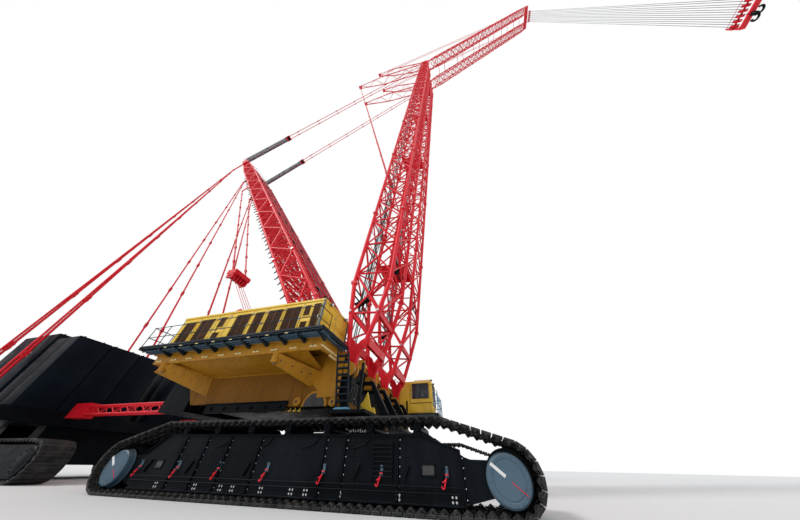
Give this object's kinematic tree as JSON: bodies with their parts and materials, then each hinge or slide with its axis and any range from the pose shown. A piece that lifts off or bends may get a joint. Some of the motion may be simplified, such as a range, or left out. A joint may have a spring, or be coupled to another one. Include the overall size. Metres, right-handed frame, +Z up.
{
  "type": "crawler crane scale model",
  "caption": "Twin-boom lattice crawler crane with a luffing jib, derrick mast, stays and tracked ballast carrier, as a scale model.",
  "frame": {"origin": "on the ground under the slewing axis, midway between the crawlers", "axes": "+X forwards, the way the boom leans; +Y to the left; +Z up"},
  "size_m": [9.9986, 1.48, 15.9713],
  "materials": {
    "ballast_iron": "black painted ballast",
    "black_paint": "satin black paint",
    "brown_paint": "dark brown louvre paint",
    "glass": "clear tinted glass",
    "hook_steel": "black painted forging",
    "ochre_paint": "ochre paint",
    "red_paint": "red lattice paint",
    "roller_steel": "greased steel",
    "rope_steel": "greased wire rope",
    "seat_plastic": "black plastic",
    "slate_paint": "blue-grey paint",
    "teal_paint": "dark blue-green paint",
    "track_steel": "dark cast track shoes",
    "yellow_paint": "yellow paint"
  },
  "bodies": {
    "undercarriage": {"side_frames": "black_paint", "carbody": "black_paint", "track_right": "track_steel", "track_left": "track_steel", "rollers": "roller_steel", "wheel_covers": "slate_paint", "crawler_fittings": "teal_paint"},
    "superstructure": {"upper_frame": "ochre_paint", "rear_ballast": "black_paint", "deck": "teal_paint", "handrails": "teal_paint", "house_right": "yellow_paint", "louvres": "brown_paint", "house_left": "yellow_paint", "engine_block": "roller_steel", "ladder": "teal_paint", "winches": "yellow_paint", "gantry": "red_paint", "luffing_block": "red_paint", "cab_body": "yellow_paint", "cab_glass": "glass", "cab_seat": "seat_plastic", "link_beams": "red_paint", "carrier_frame": "black_paint", "carrier_tracks": "track_steel", "ballast_slabs": "ballast_iron", "ballast_pendants": "red_paint"},
    "door": {"cab_door": "yellow_paint"},
    "boom": {"boom_right": "red_paint", "boom_left": "red_paint", "boom_feet": "red_paint", "boom_ties": "red_paint", "boom_head": "red_paint", "boom_stays": "red_paint", "rear_struts": "red_paint", "strut_pendants": "red_paint"},
    "jib": {"jibs": "red_paint", "front_struts": "red_paint", "jib_stays": "red_paint", "jib_head": "red_paint"},
    "mast": {"mast": "red_paint", "mast_head": "red_paint"},
    "hoist_line": {"hoist_ropes": "rope_steel"},
    "block": {"hook_block": "red_paint"},
    "hook": {"hook": "hook_steel"}
  },
  "joints": [
    {"name": "slewing", "type": "hinge", "parent": "undercarriage", "child": "superstructure", "pos_m": [0, 0, 0.242], "axis": [0, 0, 1], "continuous": true},
    {"name": "cab_door", "type": "hinge", "parent": "superstructure", "child": "door", "pos_m": [0.1403, 0.5962, 0.485], "axis": [0, 0, 1], "range_deg": [0, 100]},
    {"name": "boom_luffing", "type": "hinge", "parent": "superstructure", "child": "boom", "pos_m": [0.107, 0, 0.453], "axis": [0, 1, 0], "range_deg": [-2.8, 19.2]},
    {"name": "jib_luffing", "type": "hinge", "parent": "boom", "child": "jib", "pos_m": [1.15549, 0, 9.83507], "axis": [0, 1, 0], "range_deg": [-22, 35]},
    {"name": "mast_luffing", "type": "hinge", "parent": "superstructure", "child": "mast", "pos_m": [-0.14, 0, 0.589], "axis": [0, 1, 0], "range_deg": [0, 25]},
    {"name": "line_swing", "type": "hinge", "parent": "jib", "child": "hoist_line", "pos_m": [6.35319, 0, 15.91733], "axis": [0, -1, 0], "range_deg": [-24.8, 54.2]},
    {"name": "hoisting", "type": "slide", "parent": "hoist_line", "child": "block", "axis": [0, 0, -1], "range_m": [-9.4, 1]},
    {"name": "hook_swivel", "type": "hinge", "parent": "block", "child": "hook", "pos_m": [6.35319, 0, 5.84733], "axis": [0, 0, 1], "continuous": true}
  ]
}
